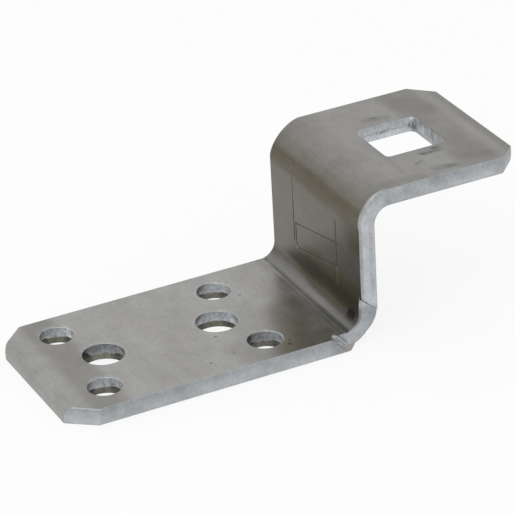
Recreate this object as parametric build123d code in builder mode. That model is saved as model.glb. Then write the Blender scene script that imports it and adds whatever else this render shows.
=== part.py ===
"""Z bracket, folded from one cropped length of 50 x 5 mm flat steel bar.

The lower flange lies flat and is bolted down through six punched round holes.
The web stands up from it, and the upper flange runs on away from it with a square
hole for a square-necked bolt. Millimetres, +Z up. The origin is under the middle of
the overall length, on the face that the bracket rests on. The front side is at -Y.
"""
import os
from math import atan, cos, degrees, radians, sin, sqrt, tan

from build123d import *

# Flat bar
bar_width = 50.0
bar_thickness = 5.0
worked_edge_radius = 0.4  # long edges on the side that the holes are punched from
outer_edge_radius = 0.8  # long edges on the other side

# Folds
lower_reach = 82.0  # free end of the lower flange to the front face of the web
upper_reach = 48.0  # front face of the web to the free end of the upper flange
bracket_height = 44.0
inner_bend_radius = 4.5
draw_in_radius = 2.1  # rounding of the outer edges in the middle of each fold
draw_in_path_radius = 13.0
draw_in_relief = 0.15

# Cropped ends
back_crop = 6.0  # both back corners, along the bar and across it
lower_front_crop_length = 7.4
lower_front_crop_width = 5.8
upper_front_crop = 4.85
lower_end_roll = 3.2  # rolled top edge of the sheared lower end
lower_crop_roll = 1.2
upper_end_roll = 2.8  # rolled bottom edge of the sheared upper end
upper_crop_roll = 1.3
dulled_edge = 0.5  # the crops' other edges, and the top edge of the upper end

# Round holes in the lower flange
small_hole_radius = 4.5
small_hole_pitch_x = 45.5
small_hole_pitch_y = 30.5
large_hole_radius = 5.5
large_hole_pitch = 32.5
hole_group_from_end = 36.0  # free end of the lower flange to the middle of the holes

# Square hole in the upper flange
square_hole_width = 17.6
square_hole_corner = 1.2
square_hole_from_end = 21.6  # free end of the upper flange to the middle of the hole

# Marks that the punch leaves on every hole
rim_roll = 0.4
fracture_height = 2.1  # torn lower part of the wall
fracture_flare = 0.6  # how far the torn part opens out to each side
square_tear_shift = 0.9  # the square hole tears further towards the back

# Strip trimmed across the front side of the lower fold
trim_near_reach = 6.25  # middle of the fold to the strip's lower seam
trim_far_reach = 7.4  # middle of the fold to its upper seam
trim_far_tilt = 4.5
trim_depth = 1.6
trim_near_run = 1.6  # length over which the strip reaches its depth at the lower seam
trim_far_step = 1.0
trim_far_run = 2.5  # the same at the upper seam, beyond its step
trim_inner_edge = 0.3
trim_outer_edge = 1.5
seam_radius = 0.25

# Burr turned up beside the trimmed strip
burr_radius = 0.8
burr_rise = 1.1  # how far the burr stands above the flange
burr_foot_height = 2.0
burr_foot_inset = 1.0  # how far the burr sinks into the strip at its foot

# Print of the press tool inside the lower fold
print_start = 13.0  # lower edge of the print, in degrees round the fold from the flange
print_angle = 46.0  # how far the print reaches round the fold
print_depth = 0.35
print_front_margin = 7.6  # front side of the bar to the near end of the print
print_back_margin = 1.2
print_run_out = 3.5  # length over which the print fades at its back end
crease_radius = 0.28  # groove along the print's edge on the lower flange

# Lines pressed into the front of the web
line_width = 0.4
line_depth = 0.15
line_offset = 12.1  # middle of the bar to each upright line
back_line_bottom = 15.2
back_line_top = 38.2
front_line_bottom = 12.7
front_line_top = 37.3
frame_back_offset = 11.0  # middle of the bar to the short side of the frame
frame_height = 6.9
frame_bottom = 13.9
frame_rise = 4.6  # the frame climbs by this much towards the front
frame_corner_cut = 1.2

# Places that follow from the sizes
overall_length = lower_reach + upper_reach
lower_end_x = -overall_length / 2
upper_end_x = overall_length / 2
web_front_x = lower_end_x + lower_reach
outer_bend_radius = inner_bend_radius + bar_thickness
hole_group_x = lower_end_x + hole_group_from_end
square_hole_x = upper_end_x - square_hole_from_end
upper_underside = bracket_height - bar_thickness
fracture_angle = degrees(atan(fracture_flare / fracture_height))
fold_corner = Vector(web_front_x + bar_thickness / 2, bar_thickness / 2)
fold_centre = Vector(web_front_x - inner_bend_radius, bar_thickness + inner_bend_radius)
upper_fold_centre = Vector(web_front_x + outer_bend_radius, bracket_height - outer_bend_radius)
clear = 1.0  # how far a cutter stands out of the metal

# The middle of the bar's thickness, from end to end
with BuildLine(Plane.XZ) as fold_line:
    FilletPolyline(
        (lower_end_x, bar_thickness / 2),
        (web_front_x + bar_thickness / 2, bar_thickness / 2),
        (web_front_x + bar_thickness / 2, bracket_height - bar_thickness / 2),
        (upper_end_x, bracket_height - bar_thickness / 2),
        radius=inner_bend_radius + bar_thickness / 2,
    )
bar_start = Plane(fold_line.line @ 0, x_dir=(0, 1, 0), z_dir=fold_line.line % 0)

# What a press tool, set at 45 degrees, trims off the front side of the lower fold
fold_middle = Plane((fold_corner.X, -bar_width / 2, fold_corner.Y), x_dir=(1, 0, -1), z_dir=(0, -1, 0))
near_seam = Plane(fold_middle * Location((0, -trim_near_reach, 0)))
far_seam = Plane(fold_middle * Location((0, trim_far_reach, 0), (0, 0, trim_far_tilt)))
far_rise = outer_bend_radius * tan(radians(trim_far_tilt))
with BuildPart() as trimming:
    with BuildSketch(bar_start) as trimmed_edge:
        with Locations((-bar_width / 2 - clear, 0)):
            Rectangle(
                2 * clear + trim_depth + trim_outer_edge,
                bar_thickness + 2 * clear,
                align=(Align.MIN, Align.CENTER),
            )
        Rectangle(bar_width - 2 * trim_depth, bar_thickness, mode=Mode.SUBTRACT)
        kept_corners = trimmed_edge.vertices().group_by(Axis.X)[1].sort_by(Axis.Y)
        fillet(kept_corners[0], radius=trim_outer_edge)
        fillet(kept_corners[1], radius=trim_inner_edge)
    sweep(path=fold_line.line)
    with BuildSketch(fold_middle):
        Polygon(
            (2 * outer_bend_radius, -trim_near_reach - clear),
            (2 * outer_bend_radius, trim_far_reach + 2 * far_rise),
            (-2 * outer_bend_radius, trim_far_reach - 2 * far_rise),
            (-2 * outer_bend_radius, -trim_near_reach - clear),
            align=None,
        )
    extrude(amount=bar_width, both=True, mode=Mode.INTERSECT)
    for seam, into_strip, step, run in (
        (near_seam, 1, 0, trim_near_run),
        (far_seam, -1, trim_far_step, trim_far_run),
    ):
        slope = (trim_depth - step) / run
        with BuildSketch(Plane(seam.origin, x_dir=seam.y_dir * into_strip, z_dir=seam.x_dir * into_strip)):
            Polygon(
                (-clear, slope * clear - step),
                (3 * run, -3 * run * slope - step),
                (-clear, -3 * run * slope - step),
                align=None,
            )
        extrude(amount=2 * outer_bend_radius, both=True, mode=Mode.SUBTRACT)

with BuildPart() as z_bracket:
    # The bar's rounded section, carried along both folds
    with BuildSketch(bar_start) as section:
        Rectangle(bar_width, bar_thickness)
        fillet(section.vertices().group_by(Axis.Y)[-1], radius=worked_edge_radius)
        fillet(section.vertices().group_by(Axis.Y)[0], radius=outer_edge_radius)
    sweep(path=fold_line.line)

    # Corners cropped off both ends
    sheared_edges = [
        (Vector(lower_end_x, 0, bar_thickness), Vector(1, 0, 0), 1, lower_end_roll),
        (Vector(upper_end_x, 0, upper_underside), Vector(-1, 0, 0), -1, upper_end_roll),
        (Vector(upper_end_x, 0, bracket_height), Vector(-1, 0, 0), 1, dulled_edge),
    ]
    lower_crops = ((-1, lower_front_crop_length, lower_front_crop_width), (1, back_crop, back_crop))
    upper_crops = ((-1, upper_front_crop, upper_front_crop), (1, back_crop, back_crop))
    for end_x, inward, top_z, top_roll, bottom_roll, crops in (
        (lower_end_x, 1, bar_thickness, lower_crop_roll, dulled_edge, lower_crops),
        (upper_end_x, -1, bracket_height, dulled_edge, upper_crop_roll, upper_crops),
    ):
        for side, crop_length, crop_width in crops:
            with BuildSketch():
                with Locations((end_x, side * bar_width / 2)):
                    Polygon(
                        (-inward * crop_length, side * crop_width),
                        (2 * inward * crop_length, side * crop_width),
                        (-inward * crop_length, -2 * side * crop_width),
                        align=None,
                    )
            extrude(amount=bracket_height, mode=Mode.SUBTRACT)
            middle = Vector(end_x + inward * crop_length / 2, side * (bar_width - crop_width) / 2, top_z)
            below = Vector(0, 0, -bar_thickness)
            into_metal = Vector(inward * crop_width, -side * crop_length, 0)
            sheared_edges.append((middle, into_metal, 1, top_roll))
            sheared_edges.append((middle + below, into_metal, -1, bottom_roll))

    # Sheared edges, rolled over on the side that the blade came from and dulled on the other
    for middle, into_metal, up, roll in sheared_edges:
        along_edge = into_metal.cross(Vector(0, 0, up))
        with BuildSketch(Plane(middle, x_dir=into_metal, z_dir=along_edge)):
            with Locations((-clear, -roll)):
                Rectangle(roll + clear, roll + clear, align=(Align.MIN, Align.MIN))
            with Locations((roll, -roll)):
                Circle(roll, mode=Mode.SUBTRACT)
        extrude(amount=bar_width, both=True, mode=Mode.SUBTRACT)

    # Outer edges of both folds, drawn in where the metal stretched
    for centre, outward in ((fold_centre, 1), (upper_fold_centre, -1)):
        path_centre = Vector(centre.X, 0, centre.Y) + Vector(outward, 0, -outward).normalized() * (
            outer_bend_radius - draw_in_path_radius
        )
        with BuildSketch(Plane(path_centre, x_dir=(0, 0, -outward), z_dir=(outward, 0, 0))):
            for side in (-1, 1):
                with Locations((draw_in_path_radius, side * bar_width / 2)):
                    Rectangle(2 * draw_in_radius, 2 * draw_in_radius)
                inset = draw_in_radius - draw_in_relief
                with Locations((draw_in_path_radius - inset, side * (bar_width / 2 - inset))):
                    Circle(draw_in_radius, mode=Mode.SUBTRACT)
        revolve(axis=Axis(path_centre, (0, -1, 0)), revolution_arc=90, mode=Mode.SUBTRACT)

    # Strip trimmed across the front side of the lower fold
    add(trimming.part, mode=Mode.SUBTRACT)

    # Seams on both sides of the strip
    for seam, depth in ((near_seam, 0), (far_seam, trim_far_step)):
        with BuildSketch(Plane(seam.offset(-depth).origin, x_dir=seam.y_dir, z_dir=seam.x_dir)):
            Circle(seam_radius)
        extrude(amount=2 * outer_bend_radius, both=True, mode=Mode.SUBTRACT)

    # Burr turned up along the lower seam, in line with the front side and sinking into the strip
    burr_y = -bar_width / 2 + burr_radius
    burr_line = fold_corner.X + fold_corner.Y + (burr_radius + seam_radius - trim_near_reach) * sqrt(2)
    burr_top_z = bar_thickness + burr_rise - burr_radius
    burr_top = Vector(burr_line - burr_top_z, burr_y, burr_top_z)
    burr_foot = Vector(burr_line - burr_foot_height, burr_y + burr_foot_inset, burr_foot_height)
    with BuildSketch(Plane(burr_foot, x_dir=(0, 1, 0), z_dir=burr_top - burr_foot)):
        Circle(burr_radius)
    extrude(amount=(burr_top - burr_foot).length)
    with Locations(burr_foot, burr_top):
        Sphere(burr_radius)

    # Print of the press tool in the inner face of the lower fold, running out at its back end
    print_centre = Vector(fold_centre.X, 0, fold_centre.Y)
    print_edge = Vector(sin(radians(print_start)), 0, -cos(radians(print_start)))
    print_radius = inner_bend_radius + print_depth
    print_back = bar_width / 2 - print_back_margin
    with BuildSketch(Plane(print_centre, x_dir=print_edge, z_dir=print_edge.cross(Vector(0, 1, 0)))):
        Polygon(
            (0, print_front_margin - bar_width / 2),
            (print_radius, print_front_margin - bar_width / 2),
            (print_radius, print_back - print_run_out),
            (inner_bend_radius, print_back),
            (0, print_back),
            align=None,
        )
    revolve(axis=Axis(print_centre, (0, -1, 0)), revolution_arc=print_angle, mode=Mode.SUBTRACT)
    crease_end = print_centre + print_edge * inner_bend_radius + Vector(0, print_back, 0)
    with BuildSketch(Plane(crease_end, x_dir=(1, 0, 0), z_dir=(0, -1, 0))):
        Circle(crease_radius)
    extrude(amount=bar_width, mode=Mode.SUBTRACT)

    # Round holes, punched from above and torn wider where the punch breaks out
    underside = Plane((hole_group_x, 0, 0), x_dir=(1, 0, 0), z_dir=(0, 0, -1))
    with Locations(underside):
        with GridLocations(small_hole_pitch_x, small_hole_pitch_y, 2, 2):
            CounterSinkHole(
                radius=small_hole_radius,
                counter_sink_radius=small_hole_radius + fracture_flare,
                depth=bar_thickness,
                counter_sink_angle=2 * fracture_angle,
            )
        with GridLocations(large_hole_pitch, 0, 2, 1):
            CounterSinkHole(
                radius=large_hole_radius,
                counter_sink_radius=large_hole_radius + fracture_flare,
                depth=bar_thickness,
                counter_sink_angle=2 * fracture_angle,
            )
    flange_top = z_bracket.faces().filter_by(Axis.Z).filter_by(lambda face: face.center().Z > 0)
    round_rims = flange_top.sort_by(Axis.Z)[0].inner_wires().edges()
    fillet(round_rims, radius=rim_roll)

    # Square hole in the upper flange, punched from above in the same way
    for top, shift, flare_angle, depth in (
        (bracket_height, 0, 0, bar_thickness),
        (upper_underside + fracture_height, square_tear_shift, fracture_angle, fracture_height),
    ):
        with BuildSketch(Plane((square_hole_x, shift, top))):
            RectangleRounded(square_hole_width, square_hole_width, square_hole_corner)
        extrude(amount=-depth, taper=-flare_angle, mode=Mode.SUBTRACT)
    upper_face = z_bracket.faces().filter_by(Axis.Z).sort_by(Axis.Z)[-1]
    fillet(upper_face.inner_wires().edges(), radius=rim_roll)

    # Two upright lines pressed into the web, running up onto the start of the upper fold
    for line_y, line_bottom, line_top in (
        (line_offset, back_line_bottom, back_line_top),
        (-line_offset, front_line_bottom, front_line_top),
    ):
        with BuildSketch(Plane((0, line_y, 0), x_dir=(1, 0, 0), z_dir=(0, -1, 0))):
            with Locations(upper_fold_centre):
                Rectangle(
                    outer_bend_radius + clear,
                    line_top - upper_fold_centre.Y,
                    align=(Align.MAX, Align.MIN),
                )
                Circle(outer_bend_radius - line_depth, mode=Mode.SUBTRACT)
            with Locations((web_front_x - clear, line_bottom)):
                Rectangle(
                    clear + line_depth,
                    upper_fold_centre.Y - line_bottom,
                    align=(Align.MIN, Align.MIN),
                )
        extrude(amount=line_width / 2, both=True, mode=Mode.SUBTRACT)

    # A plain frame pressed between them
    frame_front_bottom = frame_bottom + frame_rise
    with BuildSketch(Plane.YZ.offset(web_front_x - clear)):
        with BuildLine():
            Polyline(
                (-line_offset, frame_front_bottom + frame_height),
                (frame_back_offset, frame_bottom + frame_height),
                (frame_back_offset, frame_bottom + frame_corner_cut),
                (frame_back_offset - frame_corner_cut, frame_bottom),
                (-line_offset, frame_front_bottom),
            )
            offset(amount=line_width / 2, side=Side.BOTH)
        make_face()
    extrude(amount=clear + line_depth, mode=Mode.SUBTRACT)

z_bracket.part.label = "z_bracket"
os.makedirs("parts", exist_ok=True)
export_step(z_bracket.part, "parts/z_bracket.step")
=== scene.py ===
"""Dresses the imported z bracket: zinc-coated steel, a pale studio floor, soft light and the camera."""
from types import SimpleNamespace

import bpy
from mathutils import Matrix, Vector

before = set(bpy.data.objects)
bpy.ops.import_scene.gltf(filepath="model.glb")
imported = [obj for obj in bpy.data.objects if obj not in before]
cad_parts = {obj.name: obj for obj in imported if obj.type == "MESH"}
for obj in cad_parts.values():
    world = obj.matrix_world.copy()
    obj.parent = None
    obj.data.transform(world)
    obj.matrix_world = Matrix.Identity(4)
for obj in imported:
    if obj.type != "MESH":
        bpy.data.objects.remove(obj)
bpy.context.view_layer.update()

scene = bpy.context.scene
scene.view_settings.view_transform = "Standard"

# Camera, at the photograph's viewing angle. Places are in metres, lens and sensor in millimetres.
CAMERA_EYE = Vector((-0.313276, -0.666763, 0.412190))
CAMERA_AIM = Vector((0.37547857, 0.79899348, -0.46970763))
CAMERA_UP = Vector((0.25082859, 0.40027712, 0.88139846))
CAMERA_LENS = 223.93
CAMERA_SENSOR = 36.0
CAMERA_CLIP = (0.01, 50.0)

# Studio, in metres
WHITE = (1.0, 1.0, 1.0, 1.0)
WORLD_LIGHT = 0.8  # strength of the world where light is gathered; it is 1, plain white, where it is seen
FLOOR_HALF = 6.0
FLOOR_PAINT = (0.96, 0.96, 0.96, 1.0)
FLOOR_GLOW = 0.85  # share of plain white in the floor where it is seen; the rest shows the shadow
KEY_PLACE = Vector((-0.5, -0.5, 0.9))
KEY_AIM = Vector((0.0, 0.0, 0.02))
KEY_SIZE = 0.6
KEY_WATTS = 2.0

# Sizes of the bracket, in millimetres
MM_PER_M = 1000.0
LOWER_TOP = 5.0  # top of the lower flange, and thickness of the bar
UPPER_UNDER = 39.0  # underside of the upper flange
TOP = 44.0  # top of the upper flange
WEB_FRONT = 17.0  # front face of the web
FOLD_RADIUS = 4.5  # inner radius of the folds
FOLD_X, FOLD_Z = 12.5, 9.5  # axis of the lower fold
SMALL_HOLE, LARGE_HOLE = 4.5, 5.5  # radii

# Colours of the coating, as linear red, green and blue
CUT_COLOUR = (0.494, 0.516, 0.534, 1.0)
TORN_COLOUR = (0.47, 0.46, 0.38, 1.0)
ROLLED_RED = 0.320
GREEN_SHARE = (0.985, 0.72)  # of the red: where it is plain grey, and where it is browner, in dark mottling and painted shade
BLUE_SHARE = (0.95, 0.02)
BROWN_POWER = 2.4  # how quickly it turns brown as it darkens
REFLECTED_SHADE_BROWN = 0.11  # more brown in the painted shade on the lower flange, where the dark web shows in it
WEB_BROWN = 0.14  # and in the painted shade on the web above the lower fold
CROP_EDGE_FACTOR = 0.76  # painted shade on the rounded edges of the cropped front corner

# Satin surface with a fine grain
ROUGHNESS = (0.34, 0.44)
CUT_ROUGHER = 0.05
BUMP_STRENGTH = 0.35
BUMP_DEPTH = 0.00004  # metres

# Noise: scale along x, y and z, turn about z in radians, size in millimetres, detail, roughness, seed
NOISES = {
    "broad": ((1.0, 0.5, 1.0), 0.0, 9.0, 3.0, 0.5, 3.0),
    "medium": ((1.0, 1.0, 1.0), 0.0, 4.0, 3.0, 0.55, 11.0),
    "fine": ((1.0, 1.0, 1.0), 0.0, 0.8, 3.0, 0.6, 23.0),
    "brushed": ((1.0, 0.07, 1.0), 0.12, 0.5, 3.0, 0.6, 5.0),
    "scratches": ((1.0, 0.05, 1.0), -0.10, 0.55, 2.0, 0.5, 41.0),
    "frost": ((1.0, 1.0, 0.8), 0.0, 0.75, 3.0, 0.6, 31.0),
}
SHAKE_SCALE = 1.2  # waves per millimetre
SHAKE_DETAIL = 2.0
SHAKE_REACH = 0.8  # millimetres

# How far each noise makes the rolled and the cut faces lighter or darker, and how high it makes the grain
ROLLED_MOTTLE = (("broad", 0.10), ("medium", 0.10), ("fine", 0.08), ("brushed", 0.07))
CUT_MOTTLE = (("medium", 0.16), ("fine", 0.14), ("broad", 0.08))
GRAIN_HEIGHT = (("fine", 0.7), ("medium", 0.9), ("brushed", 0.5))

# Round holes: middle of the top, radius
ROUND_HOLES = (
    ((-51.75, -15.25, LOWER_TOP), SMALL_HOLE),
    ((-51.75, 15.25, LOWER_TOP), SMALL_HOLE),
    ((-6.25, -15.25, LOWER_TOP), SMALL_HOLE),
    ((-6.25, 15.25, LOWER_TOP), SMALL_HOLE),
    ((-45.25, 0.0, LOWER_TOP), LARGE_HOLE),
    ((-12.75, 0.0, LOWER_TOP), LARGE_HOLE),
)
HALO_OFFSET = Vector((0.2, 0.4, 0.0))  # the painted highlight round each hole is set a little off its middle, towards the far side
HALO_FADING = 0.9

# Pits in the coating: middle, radius
PITS = (
    ((-16.6, -7.4, LOWER_TOP), 0.12),
    ((-23.7, -18.9, LOWER_TOP), 0.12),
    ((-1.3, 9.4, LOWER_TOP), 0.12),
    ((-1.9, -20.6, LOWER_TOP), 0.25),
    ((-0.9, -18.7, LOWER_TOP), 0.10),
    ((-16.2, -17.6, LOWER_TOP), 0.05),
    ((31.4, -11.1, TOP), 0.02),
)
PIT_FADING = 0.45
PIT_FACTOR = 0.35

# Dark scuffs, and painted shade in seams, nicks and corners: start, end, radius, fading, factor
SCUFFS_AND_SHADE = (
    # Painted shade in the seams of the trimmed strip, and in nicks on the back edges of the lower fold
    ((8.4, -25.0, 5.0), (13.2, -25.0, 0.0), 0.10, 0.3, 0.70),
    ((17.1, -24.6, 14.3), (21.9, -24.4, 10.2), 0.15, 0.4, 0.35),
    ((18.2, -24.5, 13.3), (19.9, -24.5, 11.9), 0.20, 0.5, 0.40),
    ((17.1, -24.8, 13.8), (17.1, -24.8, 11.2), 0.40, 1.0, 0.40),
    ((11.3, 25.0, 5.0), (12.2, 25.0, 5.1), 0.30, 0.5, 0.30),
    ((17.0, 25.0, 10.3), (17.0, 25.0, 10.9), 0.25, 0.5, 0.30),
    # Scuffs on the top of the upper flange
    ((46.9, -10.8, TOP), (48.2, -11.0, TOP), 0.10, 0.7, 0.45),
    ((43.0, -12.2, TOP), (47.9, -12.5, TOP), 0.15, 1.0, 0.50),
    ((43.6, -11.2, TOP), (47.6, -11.2, TOP), 0.80, 1.6, 0.78),
    ((40.6, 13.0, TOP), (45.4, 12.0, TOP), 0.30, 2.2, 0.78),
    ((42.0, 13.4, TOP), (42.8, 13.2, TOP), 0.15, 0.6, 0.65),
    ((42.0, -21.4, TOP), (47.2, -22.3, TOP), 0.10, 2.4, 0.74),
    ((45.2, -21.9, TOP), (46.9, -22.2, TOP), 0.10, 0.9, 0.76),
    ((38.8, -16.5, TOP), (40.7, -15.9, TOP), 0.10, 0.7, 0.70),
    ((52.4, -19.4, TOP), (58.4, -20.8, TOP), 0.30, 3.2, 0.83),
    ((57.5, 12.0, TOP), (54.0, 17.0, TOP), 1.00, 5.0, 0.84),
    ((34.1, 1.3, TOP), (33.6, -20.0, TOP), 0.10, 1.2, 0.85),
    # Painted shade in the far corner and along the walls of the square hole
    ((42.3, 8.8, 41.6), (43.4, 8.8, 41.7), 0.15, 0.4, 0.20),
    ((50.9, 8.8, 42.2), (50.7, 8.8, 40.8), 0.10, 0.4, 0.50),
    ((51.6, 8.6, 42.7), (51.9, 8.7, 40.2), 0.20, 0.4, 0.40),
    ((51.6, 8.8, 41.0), (52.1, 8.2, 40.0), 0.25, 0.5, 0.40),
    ((52.2, 5.0, 43.6), (52.2, 4.6, 41.0), 0.10, 0.5, 0.85),
    ((52.2, -1.0, 43.6), (52.2, -1.4, 40.5), 0.10, 0.7, 0.70),
    ((52.2, -5.0, 43.4), (52.2, -5.2, 41.5), 0.10, 0.5, 0.70),
)

# Painted highlights on the burrs along the pressed lines: start, end, radius, fading, factor
PRESSED_LINE_HIGHLIGHTS = (
    ((WEB_FRONT, 12.1, 27.0), (WEB_FRONT, 12.1, 34.0), 0.15, 0.40, 1.45),
    ((WEB_FRONT, -12.1, 12.7), (WEB_FRONT, -12.1, 17.8), 0.15, 0.40, 2.30),
    ((WEB_FRONT, -12.1, 32.0), (17.2, -12.1, 36.8), 0.15, 0.40, 2.10),
    ((WEB_FRONT, 12.1, 34.0), (17.3, 12.1, 38.0), 0.15, 0.40, 2.10),
    ((WEB_FRONT, 9.6, 13.4), (WEB_FRONT, -12.1, 17.9), 0.10, 0.35, 1.25),
    ((WEB_FRONT, 10.5, 13.7), (WEB_FRONT, 10.5, 13.7), 0.20, 0.40, 1.90),
)

# Lighter and darker patches on the flanges: start, end, radius, fading, factor
UPPER_PATCHES = (
    ((20.0, 21.0, 43.0), (27.0, 23.0, TOP), 1.0, 6.0, 1.14),
    ((55.0, -9.0, TOP), (54.0, -15.0, TOP), 1.0, 4.0, 0.90),
    ((27.0, -22.5, 43.6), (36.0, -23.8, TOP), 0.8, 2.2, 0.84),
)
LOWER_PATCHES = (
    ((-14.3, -16.8, LOWER_TOP), (-12.0, -24.0, LOWER_TOP), 1.5, 5.0, 0.88),
    ((3.0, 1.5, LOWER_TOP), (7.5, -4.5, LOWER_TOP), 1.0, 4.0, 1.12),
    ((4.0, -25.5, LOWER_TOP), (9.0, -21.5, LOWER_TOP), 1.5, 4.0, 0.76),
)
# Painted shade on the lower flange, where the dark web shows in it: start, end, radius, fading
REFLECTED_SHADE_PATCH = ((-3.0, -26.0, LOWER_TOP), (6.0, -3.0, LOWER_TOP), 1.5, 7.0)

# Painted highlights and painted shade on the walls of the square hole, then lighter and darker patches on
# the round ones: start, end, radius, fading, factor
WALL_PATCHES = (
    ((50.6, 8.8, 43.2), (52.2, 7.4, 43.2), 0.7, 1.2, 1.40),
    ((52.2, 7.2, 42.2), (52.2, 4.6, 42.2), 0.8, 1.6, 1.70),
    ((51.2, 9.2, 40.4), (52.2, 7.6, 40.6), 0.4, 0.9, 0.62),
    ((52.2, 6.5, 40.6), (52.2, 4.5, 41.0), 0.2, 0.9, 0.80),
    ((-47.6, 16.6, 3.6), (-47.4, 14.6, 3.6), 0.6, 1.6, 1.40),
    ((-55.6, 17.2, 3.0), (-56.1, 15.6, 3.0), 0.4, 1.2, 0.80),
    ((-48.4, -12.6, 2.8), (-47.6, -14.2, 2.8), 0.5, 1.4, 0.76),
    ((-17.6, 2.4, 3.0), (-16.0, 4.4, 3.0), 0.5, 1.6, 1.12),
)

# Inside the lower fold: painted shade in a dark spot at its front end, and painted light in a patch on the
# web above it
DARK_SPOT = ((16.5, -19.0, 7.9), (16.6, -20.6, 8.0), 0.5, 1.5, 0.22)
LIGHT_PATCH = ((WEB_FRONT, 8.0, 13.5), (WEB_FRONT, -8.0, 17.5), 1.5, 4.0, 1.22)


class Graph:
    """Short names for adding nodes to one node tree. A socket or a number may stand for any value."""

    def __init__(self, tree):
        self.tree = tree
        tree.nodes.clear()

    def node(self, kind, *values, out=0, **settings):
        """A new node's output of this number, or the node itself where out is None."""
        made = self.tree.nodes.new("ShaderNode" + kind)
        inputs = settings.pop("inputs", {})
        for name, value in settings.items():
            setattr(made, name, value)
        for key, value in [*enumerate(values), *inputs.items()]:
            if value is None:
                continue
            if isinstance(value, bpy.types.NodeSocket):
                self.tree.links.new(value, made.inputs[key])
            else:
                made.inputs[key].default_value = value
        return made if out is None else made.outputs[out]

    def math(self, operation, a, b=None, c=None):
        return self.node("Math", a, b, c, operation=operation)

    def vector(self, operation, *values, out=0, **settings):
        return self.node("VectorMath", *values, out=out, operation=operation, **settings)

    def scale(self, vector, factor):
        return self.vector("SCALE", vector, inputs={3: factor})

    def mul(self, *values):
        product = values[0]
        for value in values[1:]:
            product = self.math("MULTIPLY", product, value)
        return product

    def greatest(self, *values):
        best = values[0]
        for value in values[1:]:
            best = self.math("MAXIMUM", best, value)
        return best

    def inverse(self, value):
        return self.math("SUBTRACT", 1.0, value)

    def step(self, value, low, high, at_low=0.0, at_high=1.0):
        """A smooth change from at_low to at_high as the value goes from low to high."""
        return self.node("MapRange", value, low, high, at_low, at_high, interpolation_type="SMOOTHSTEP")

    def fall(self, value, low, high):
        """1 below low, falling smoothly to 0 at high."""
        return self.step(value, low, high, 1.0, 0.0)

    def band(self, value, low, high, soft):
        """1 between low and high, fading over soft on each side."""
        return self.mul(self.step(value, low - soft, low), self.fall(value, high, high + soft))

    def shade(self, tone, *rows):
        """The tone, multiplied by each row's factor where the product of that row's masks is 1."""
        for factor, *masks in rows:
            tone = self.mul(tone, self.node("MapRange", self.mul(*masks), 0.0, 1.0, 1.0, factor))
        return tone

    def touch(self, tone, place, rows, zone=None):
        """The tone, multiplied by each row's factor along that row's stroke, in the zone."""
        for start, end, radius, soft, factor in rows:
            stroke = self.stroke(place, start, end, radius, soft)
            tone = self.shade(tone, (factor, stroke) if zone is None else (factor, zone, stroke))
        return tone

    def noise(self, place, scale, turn, size, detail, roughness, seed):
        """Soft noise from 0 to 1 about 0.5, with features of this size."""
        place = self.node("Mapping", place, inputs={"Rotation": (0.0, 0.0, turn), "Scale": scale})
        inputs = {"Vector": place, "W": seed, "Scale": 1.0 / size, "Detail": detail, "Roughness": roughness}
        return self.node("TexNoise", inputs=inputs, noise_dimensions="4D")

    def vary(self, tone, noise, share):
        """The tone, made up to this share lighter or darker by the noise."""
        change = self.node("MapRange", noise, 0.25, 0.75, 1.0 - share, 1.0 + share, clamp=False)
        return self.mul(tone, change)

    def centred(self, noise, amount):
        """The noise about 0 instead of about 0.5, this many times as strong."""
        return self.mul(self.math("SUBTRACT", noise, 0.5), amount)

    def mix(self, share, first, second):
        return self.node("Mix", out=2, data_type="RGBA", inputs={0: share, 6: first, 7: second})

    def stroke(self, place, start, end, radius, soft):
        """1 within radius of a straight stroke between two points, fading over soft."""
        along = Vector(end) - Vector(start)
        offset = self.vector("SUBTRACT", place, tuple(start))
        reach = along.length_squared
        if reach > 0.0:
            share = self.vector("DOT_PRODUCT", offset, tuple(along / reach), out=1)
            nearest = self.scale(tuple(along), self.node("Clamp", share))
            offset = self.vector("SUBTRACT", offset, nearest)
        return self.fall(self.vector("LENGTH", offset, out=1), radius, radius + soft)


def make_camera():
    data = bpy.data.cameras.new("camera")
    data.sensor_width = CAMERA_SENSOR
    data.lens = CAMERA_LENS
    data.clip_start, data.clip_end = CAMERA_CLIP
    camera = bpy.data.objects.new("camera", data)
    scene.collection.objects.link(camera)
    right = CAMERA_AIM.cross(CAMERA_UP).normalized()
    up = right.cross(CAMERA_AIM).normalized()
    camera.matrix_world = Matrix(
        (
            (right.x, up.x, -CAMERA_AIM.x, CAMERA_EYE.x),
            (right.y, up.y, -CAMERA_AIM.y, CAMERA_EYE.y),
            (right.z, up.z, -CAMERA_AIM.z, CAMERA_EYE.z),
            (0.0, 0.0, 0.0, 1.0),
        )
    )
    scene.camera = camera


def white_for_view(g):
    """1 where the camera, a reflection or a refraction looks, 0 where light is gathered."""
    path = g.node("LightPath", out=None)
    return g.greatest(*(path.outputs[f"Is {kind} Ray"] for kind in ("Camera", "Glossy", "Transmission")))


def make_world():
    world = bpy.data.worlds.new("studio")
    scene.world = world
    world.use_nodes = True
    g = Graph(world.node_tree)
    strength = g.node("MapRange", white_for_view(g), 0.0, 1.0, WORLD_LIGHT, 1.0)
    g.node("OutputWorld", g.node("Background", WHITE, strength), out=None)


def make_floor():
    mesh = bpy.data.meshes.new("floor")
    half = FLOOR_HALF
    corners = [(-half, -half, 0), (half, -half, 0), (half, half, 0), (-half, half, 0)]
    mesh.from_pydata(corners, [], [(0, 1, 2, 3)])
    floor = bpy.data.objects.new("floor", mesh)
    scene.collection.objects.link(floor)
    material = bpy.data.materials.new("floor_white")
    material.use_nodes = True
    g = Graph(material.node_tree)
    paint = g.node("BsdfDiffuse", FLOOR_PAINT)
    glow = g.node("Emission", WHITE, 1.0)
    shown = g.node("MixShader", g.mul(white_for_view(g), FLOOR_GLOW), paint, glow)
    g.node("OutputMaterial", shown, out=None)
    mesh.materials.append(material)


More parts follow.
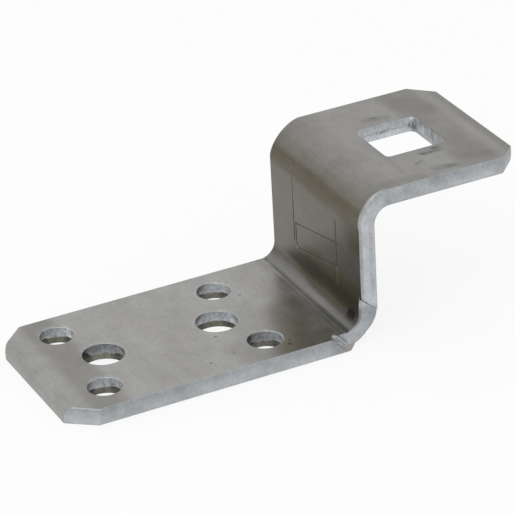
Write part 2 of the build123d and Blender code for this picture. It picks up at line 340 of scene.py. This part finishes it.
def make_key_lamp():
    data = bpy.data.lights.new("key", "AREA")
    data.shape = "SQUARE"
    data.size = KEY_SIZE
    data.energy = KEY_WATTS
    lamp = bpy.data.objects.new("key", data)
    lamp.location = KEY_PLACE
    lamp.rotation_euler = (KEY_AIM - KEY_PLACE).to_track_quat("-Z", "Y").to_euler()
    scene.collection.objects.link(lamp)


# Below, x, y, z and height are in millimetres, and nx, ny and nz are parts of the unit normal, all in the
# part's own frame. A mask is 1 in its zone and 0 outside it, and a tone is a factor on the colour.


def survey(g):
    """What all parts of the steel share: places, normals, noise and masks."""
    s = SimpleNamespace()
    coordinates = g.node("TexCoord", out=None)
    s.place = g.scale(coordinates.outputs["Object"], MM_PER_M)
    s.x, s.y, s.z = g.node("SeparateXYZ", s.place, out=None).outputs
    s.nx, s.ny, s.nz = g.node("SeparateXYZ", coordinates.outputs["Normal"], out=None).outputs
    s.side_on = g.math("ABSOLUTE", s.ny)
    s.level = g.math("ABSOLUTE", s.nz)

    # Noise of several sizes, and places shaken a little, for marks with uneven edges
    s.noise = {name: g.noise(s.place, *settings) for name, settings in NOISES.items()}
    inputs = {"Vector": s.place, "Scale": SHAKE_SCALE, "Detail": SHAKE_DETAIL}
    shake = g.vector("SUBTRACT", g.node("TexNoise", out=1, inputs=inputs), (0.5, 0.5, 0.5))
    s.shaken = g.vector("MULTIPLY_ADD", shake, (SHAKE_REACH,) * 3, s.place)

    # Cut faces: the long sides, the walls of the holes, and the upper end without its rolled edges
    s.near_web = g.band(s.x, 10.0, 30.0, 3.0)
    s.side = g.greatest(
        g.mul(g.step(s.side_on, 0.35, 0.7), g.inverse(s.near_web)),
        g.step(s.side_on, 0.7, 0.95),
        g.mul(g.step(s.side_on, 0.45, 0.75), g.step(s.z, 33.0, 36.0)),
    )
    flanges = g.greatest(g.band(s.x, -61.0, 11.0, 0.5), g.step(s.x, 27.0, 27.5))
    not_rolled = g.greatest(g.fall(s.x, 60.0, 60.5), g.fall(s.level, 0.1, 0.3))
    s.cut = g.greatest(s.side, g.mul(g.fall(s.level, 0.35, 0.65), flanges, not_rolled))

    # Rolled faces: the punched face lies on top of the flanges and in front of the web
    s.punched = g.step(g.math("SUBTRACT", s.nz, s.nx), 0.0, 0.5)
    s.web = g.mul(s.punched, g.band(s.x, 14.5, 25.0, 5.0))
    s.upper = g.mul(s.punched, g.greatest(g.step(s.x, 25.0, 28.0), g.step(s.z, 39.5, 41.5)))
    s.lower = g.mul(g.step(s.nz, 0.4, 0.8), g.fall(s.x, 8.0, 12.0))
    # Painted shade on the lower flange, where the dark web shows in it
    s.brown_patch = g.mul(s.lower, g.stroke(s.place, *REFLECTED_SHADE_PATCH))

    # Holes: the round ones are in the lower flange, and the large ones on its middle line
    hole_columns = g.greatest(g.band(s.x, -60.0, 8.0, 0.5), g.band(s.x, 33.0, 54.0, 0.5))
    s.holes = g.mul(hole_columns, g.band(s.y, -22.0, 22.0, 0.5))
    s.wall = g.mul(g.fall(s.level, 0.35, 0.65), s.holes)
    s.rim = g.mul(g.step(s.level, 0.35, 0.6), s.holes)
    s.round_hole = g.fall(s.x, 9.0, 10.0)
    s.square_hole = g.inverse(s.round_hole)
    s.large = g.band(s.y, -6.5, 6.5, 0.5)
    s.small = g.inverse(s.large)

    # Height above the underside of the lower flange, or of the upper one
    underside = g.mul(g.step(s.x, 24.0, 28.0), UPPER_UNDER)
    s.height = g.node("Clamp", g.math("SUBTRACT", s.z, underside), 0.0, LOWER_TOP)

    # Scuffs and painted shade in seams and corners, broken up by noise
    broken = g.mul(s.noise["medium"], g.math("ADD", s.noise["fine"], 0.5))
    s.scuffed = g.touch(1.0, s.shaken, SCUFFS_AND_SHADE, g.step(broken, 0.38, 0.60, 0.35, 1.3))
    return s


def rolled_tone(g, s):
    """How light the rolled faces are: mottled, with painted light and painted shade in zones along the
    bracket.
    """
    x, y, z = s.x, s.y, s.z
    tone = 1.0
    for name, share in ROLLED_MOTTLE:
        tone = g.vary(tone, s.noise[name], share)
    scratches = g.step(s.noise["scratches"], 0.66, 0.74)
    tone = g.shade(tone, (0.91, scratches, g.step(s.nz, 0.7, 0.95)))

    # The web: painted shade, darker than the flanges and darkest above the lower fold and where the upper
    # fold starts, with painted light at mid height towards its front and a band of painted shade across the
    # upper fold
    low = g.fall(g.math("MULTIPLY_ADD", y, 0.2, z), 8.0, 21.0)
    tone = g.shade(
        tone,
        (0.50, s.web, g.step(z, 5.0, 8.0), g.fall(z, 38.2, 43.5)),
        (0.62, s.web, low, g.step(z, 5.0, 9.0), g.step(y, 2.0, 14.0, 1.0, 0.3)),
        (0.68, s.web, g.fall(y, -22.0, -14.0), g.band(z, 28.5, 32.0, 3.0)),
        (1.17, s.web, g.fall(y, -14.0, -9.0), g.band(z, 18.0, 22.5, 3.0)),
        (0.72, s.web, g.band(z, 35.0, 38.2, 2.6)),
    )

    # The upper flange: darker than the lower one, with painted shade on the rounded top of the upper fold,
    # and darker towards its end and along its back edge by the fold
    tone = g.shade(
        tone,
        (0.86, s.upper),
        (0.87, s.punched, g.band(z, 40.8, 43.6, 1.5), g.fall(x, 26.0, 31.0)),
        (0.83, s.upper, g.band(x, 50.0, 58.0, 3.5)),
        (0.82, s.upper, g.step(x, 61.5, 63.5)),
        (0.84, s.upper, g.fall(x, 28.0, 34.0), g.step(y, 17.0, 21.0)),
    )
    tone = g.touch(tone, s.place, UPPER_PATCHES, s.upper)

    # The lower flange: painted shade in a band near its end, where its top rolls over, a patch of painted
    # shade from its front edge to the fold, where the dark web shows in it, and painted light beside the
    # fold with painted shade at the fold's back end
    beside_fold = g.mul(g.step(s.nz, 0.7, 0.95), g.band(x, 11.6, 12.9, 1.6))
    tone = g.shade(
        tone,
        (0.78, s.lower, g.band(x, -57.0, -51.5, 3.5)),
        (1.05, s.lower, g.fall(x, 0.0, 3.0), g.step(x, -50.0, -46.0)),
        (0.66, s.brown_patch),
        (0.84, s.brown_patch, g.fall(y, -24.0, -10.0)),
        (1.22, beside_fold, g.fall(y, 4.0, 12.0)),
        (0.80, beside_fold, g.step(y, 14.0, 22.0)),
    )
    return g.touch(tone, s.place, LOWER_PATCHES, s.lower)


def fold_tone(g, s, tone):
    """The tone with the print inside the lower fold: darker with painted shade, with a dark line of painted
    shade along each edge and a painted highlight line above it.
    """
    y, z = s.y, s.z
    angle = g.math("ARCTAN2", g.math("SUBTRACT", s.x, FOLD_X), g.math("SUBTRACT", FOLD_Z, z))
    arc = g.mul(angle, FOLD_RADIUS)
    inside = g.mul(s.punched, g.band(s.x, 11.5, 17.2, 0.3), g.inverse(s.side))
    tone = g.shade(
        tone,
        (0.64, inside, g.step(arc, 0.8, 1.4), g.fall(arc, 4.2, 6.5)),
        (0.72, inside, g.band(z, 11.5, 12.5, 1.8), g.fall(y, 6.0, 16.0)),
        (0.62, inside, g.band(arc, 0.9, 1.4, 0.5), g.step(y, 18.0, 22.0, 1.0, 0.2)),
        (0.74, inside, g.band(arc, 0.7, 1.7, 0.5), g.fall(y, -10.0, 3.0)),
        (0.70, inside, g.band(arc, 3.9, 4.4, 0.8), g.fall(y, 0.0, 8.0)),
        (0.86, inside, g.fall(y, -20.0, -8.0), g.fall(z, 9.5, 11.5)),
        (1.20, inside, g.band(arc, 5.2, 6.6, 1.0), g.fall(y, -6.0, 2.0)),
    )
    tone = g.touch(tone, s.shaken, [DARK_SPOT])
    return g.touch(tone, s.place, [LIGHT_PATCH])


def marked_tone(g, s, tone):
    """The tone with pits, scuffs and painted shade in seams and corners, painted highlights along the
    pressed lines, a darker back edge of the lower fold, and a painted highlight on the web's rounded edges.
    """
    pits = [(middle, middle, radius, PIT_FADING, PIT_FACTOR) for middle, radius in PITS]
    tone = g.mul(g.touch(tone, s.shaken, pits), s.scuffed)
    tone = g.touch(tone, s.place, PRESSED_LINE_HIGHLIGHTS)
    web_edges = g.mul(s.near_web, g.step(s.side_on, 0.15, 0.4), g.step(s.z, 12.0, 20.0))
    web_edges = g.mul(web_edges, g.fall(s.z, 42.6, 43.4))
    return g.shade(
        tone,
        # Darker along the back edge of the lower fold
        (0.55, g.step(s.y, 24.2, 24.8), g.band(s.x, 9.5, 17.2, 1.5), g.fall(s.z, 10.0, 14.0)),
        # Painted highlight on the web's rounded long edges
        (1.05, web_edges, g.greatest(s.punched, g.step(s.nz, 0.2, 0.5))),
    )


def rolled_colour(g, s, plain_tone, tone):
    """The colour of the rolled faces at this tone. The darker the plain tone, painted shade included, the
    browner it is.
    """
    brown = g.math("POWER", g.inverse(g.node("Clamp", plain_tone)), BROWN_POWER)
    above_fold = g.mul(s.web, g.band(s.z, 13.0, 15.0, 3.0), g.fall(s.y, -12.0, 4.0))
    brown = g.math("MULTIPLY_ADD", s.brown_patch, REFLECTED_SHADE_BROWN, brown)
    brown = g.math("MULTIPLY_ADD", above_fold, WEB_BROWN, brown)
    red = g.mul(tone, ROLLED_RED)
    green = g.mul(red, g.node("MapRange", brown, 0.0, 1.0, *GREEN_SHARE))
    blue = g.mul(red, g.node("MapRange", brown, 0.0, 1.0, *BLUE_SHARE))
    return g.node("CombineColor", red, green, blue)


def side_tone(g, s):
    """How light the cut faces are: more speckled than the rolled ones, with darker zones on the sides and
    painted shade by the folds.
    """
    x, z = s.x, s.z
    tone = 1.0
    for name, share in CUT_MOTTLE:
        tone = g.vary(tone, s.noise[name], share)
    off_axis = g.vector("SUBTRACT", s.place, (FOLD_X, 0.0, FOLD_Z))
    from_axis = g.vector("LENGTH", g.vector("MULTIPLY", off_axis, (1.0, 0.0, 1.0)), out=1)
    flange_side = g.mul(s.side, g.inverse(g.band(x, 14.0, 24.0, 2.0)))
    fold_side = g.mul(s.side, g.band(x, 9.0, 22.0, 2.0), g.fall(z, 10.0, 13.0))
    web_side = g.mul(s.side, g.step(z, 14.0, 17.0), g.fall(z, 34.0, 37.0))
    return g.shade(
        tone,
        (0.86, flange_side),
        (0.80, flange_side, g.inverse(g.band(x, 12.0, 29.0, 2.0)), g.step(s.height, 1.0, 5.0)),
        # Painted shade on the side of the lower fold, darkest by its inner bend
        (0.82, fold_side),
        (0.60, fold_side, g.fall(from_axis, 4.9, 5.6), g.step(z, 4.5, 7.0)),
        (0.86, fold_side, g.step(z, 5.0, 8.0)),
        (0.72, web_side, g.band(x, 16.5, 17.7, 0.6)),
        (0.88, web_side, g.band(x, 20.2, 20.9, 0.6)),
        # Painted shade on the side of the upper fold, and on its rounded edge
        (0.94, s.side, s.near_web, g.step(z, 34.0, 37.0)),
        (0.74, s.near_web, g.fall(s.side_on, 0.80, 0.97), g.step(z, 33.0, 36.0)),
        # The cropped corners of the lower end
        (1.10, s.side, g.fall(x, -57.8, -57.2)),
    )


def torn_and_shaded_walls(g, s):
    """1 on the lower part of the round holes' walls, where they tore. It reaches higher at their ends,
    where it also paints their shade.
    """
    x, nx = s.x, s.nx
    climb = g.greatest(
        g.mul(s.large, g.step(nx, 0.15, 0.70), g.step(x, -40.0, -36.0, 2.2, 0.5)),
        g.mul(s.large, g.fall(nx, -0.97, -0.75), g.fall(x, -40.0, -36.0), 0.6),
        g.mul(s.small, g.greatest(g.step(nx, 0.0, 0.6, 0.0, 0.6), g.step(nx, -0.95, -0.6, 0.3, 0.0))),
    )
    climb = g.math("ADD", climb, g.centred(s.noise["medium"], 0.5))
    return g.mul(s.wall, s.round_hole, g.fall(g.math("SUBTRACT", s.height, climb), 1.9, 2.3))


def wall_tone(g, s, tone, torn_and_shaded):
    """The tone with the holes: frosted where the punch sheared their walls, and dark where they tore, with
    painted shade deepest at their ends and on their left walls, and painted light on the right and upper
    walls and on the rims.
    """
    x, y, nx, ny = s.x, s.y, s.nx, s.ny
    frost = g.centred(s.noise["frost"], g.step(x, 9.0, 10.0, 1.0, 0.55))
    tone = g.mul(tone, g.node("MapRange", g.mul(s.wall, frost), -0.25, 0.25, 0.62, 1.38))

    round_wall = g.mul(s.wall, s.round_hole)
    rolled_rim = g.mul(s.rim, s.round_hole, g.step(s.height, 3.6, 4.8), g.fall(s.nz, 0.90, 0.98))
    hole_ends = g.greatest(g.step(nx, -0.05, 0.45), g.fall(nx, -0.90, -0.50))
    # Painted shade where the walls tore, on their left sides and on the rolled rims, and painted light on
    # their right and upper parts and on the rims that face forward
    tone = g.shade(
        tone,
        (0.36, torn_and_shaded),
        (1.40, torn_and_shaded, s.large, g.fall(x, -32.0, -28.0), g.inverse(hole_ends)),
        (0.32, torn_and_shaded, hole_ends),
        (0.55, torn_and_shaded, s.large, g.step(nx, 0.2, 0.7)),
        (0.84, round_wall, g.step(nx, 0.3, 0.9)),
        (1.14, round_wall, g.fall(nx, -0.7, -0.1)),
        (0.86, round_wall, s.small, g.step(nx, 0.0, 0.5)),
        (1.28, round_wall, s.small, g.step(s.height, 3.0, 4.4)),
        (0.90, rolled_rim),
        (0.88, rolled_rim, s.large),
        (1.08, s.rim, g.fall(ny, -0.3, 0.0)),
    )

    # Two of the round holes are gloomier: the large one by the lower end, and a small one by the fold
    gloomy = g.greatest(
        g.mul(g.band(x, -52.0, -38.0, 1.0), g.band(y, -7.0, 7.0, 1.0)),
        g.mul(g.band(x, -13.0, 0.0, 1.0), g.fall(y, -9.0, -8.0)),
    )
    gloomy = g.mul(s.wall, gloomy, g.inverse(torn_and_shaded))
    tone = g.shade(tone, (0.62, gloomy), (0.55, gloomy, g.step(nx, 0.2, 0.8)))

    # The square hole: painted light and painted shade on its walls, the line where the far one tore, and a
    # painted highlight on its rim
    square_wall = g.mul(s.wall, s.square_hole)
    tear_height = g.math("ADD", s.height, g.centred(s.noise["medium"], 1.6))
    tone = g.shade(
        tone,
        (0.80, square_wall, g.fall(nx, -0.9, -0.5)),
        (1.32, square_wall, g.fall(ny, -0.9, -0.5)),
        (0.70, square_wall, g.fall(ny, -0.9, -0.5), g.band(tear_height, 2.75, 2.85, 0.22)),
        (1.50, s.rim, s.square_hole, g.step(g.greatest(ny, nx), 0.1, 0.4)),
    )
    return g.touch(tone, s.place, WALL_PATCHES, s.wall)


def round_rims(g, s):
    """Where the cut colour shows round the round holes: on their rims, and in a soft, broken halo set
    towards their far side as a painted highlight.
    """
    rims = g.mul(g.fall(s.level, 0.40, 0.97), s.round_hole, s.holes)
    halos = []
    for middle, radius in ROUND_HOLES:
        middle = Vector(middle) + HALO_OFFSET
        halos.append(g.stroke(s.shaken, middle, middle, radius, HALO_FADING))
    broken = g.step(s.noise["fine"], 0.40, 0.60, 0.05, 0.30)
    return g.greatest(rims, g.mul(g.greatest(*halos), g.step(s.nz, 0.3, 0.6), broken))


def steel():
    """The zinc-coated steel: rolled faces, and paler and bluer ones where the bar was cut or punched."""
    material = bpy.data.materials.new("zinc_coated_steel")
    material.use_nodes = True
    g = Graph(material.node_tree)
    s = survey(g)

    plain_tone = rolled_tone(g, s)
    tone = marked_tone(g, s, fold_tone(g, s, plain_tone))
    rolled = rolled_colour(g, s, plain_tone, tone)

    torn_and_shaded = torn_and_shaded_walls(g, s)
    tone = g.mul(wall_tone(g, s, side_tone(g, s), torn_and_shaded), s.scuffed)
    cut = g.scale(g.mix(torn_and_shaded, CUT_COLOUR, TORN_COLOUR), tone)

    colour = g.mix(g.greatest(s.cut, round_rims(g, s)), rolled, cut)
    # Painted shade on the rounded edges of the cropped front corner
    crop_edge = g.mul(g.step(s.side_on, 0.12, 0.60), g.step(s.nz, 0.10, 0.45))
    crop_edge = g.mul(crop_edge, g.fall(s.x, -57.6, -57.0), g.fall(s.y, -5.0, 5.0))
    colour = g.scale(colour, g.shade(1.0, (CROP_EDGE_FACTOR, crop_edge)))

    roughness = g.node("MapRange", s.noise["medium"], 0.25, 0.75, *ROUGHNESS)
    roughness = g.math("ADD", roughness, g.mul(s.cut, CUT_ROUGHER))
    height = 0.0
    for name, share in GRAIN_HEIGHT:
        height = g.math("MULTIPLY_ADD", s.noise[name], share, height)
    bump = g.node("Bump", inputs={"Strength": BUMP_STRENGTH, "Distance": BUMP_DEPTH, "Height": height})

    sockets = {"Base Color": colour, "Metallic": 1.0, "Roughness": roughness, "Normal": bump}
    g.node("OutputMaterial", g.node("BsdfPrincipled", inputs=sockets), out=None)
    return material


make_camera()
make_world()
make_floor()
make_key_lamp()

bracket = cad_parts["z_bracket"]
bracket.data.materials.clear()
bracket.data.materials.append(steel())
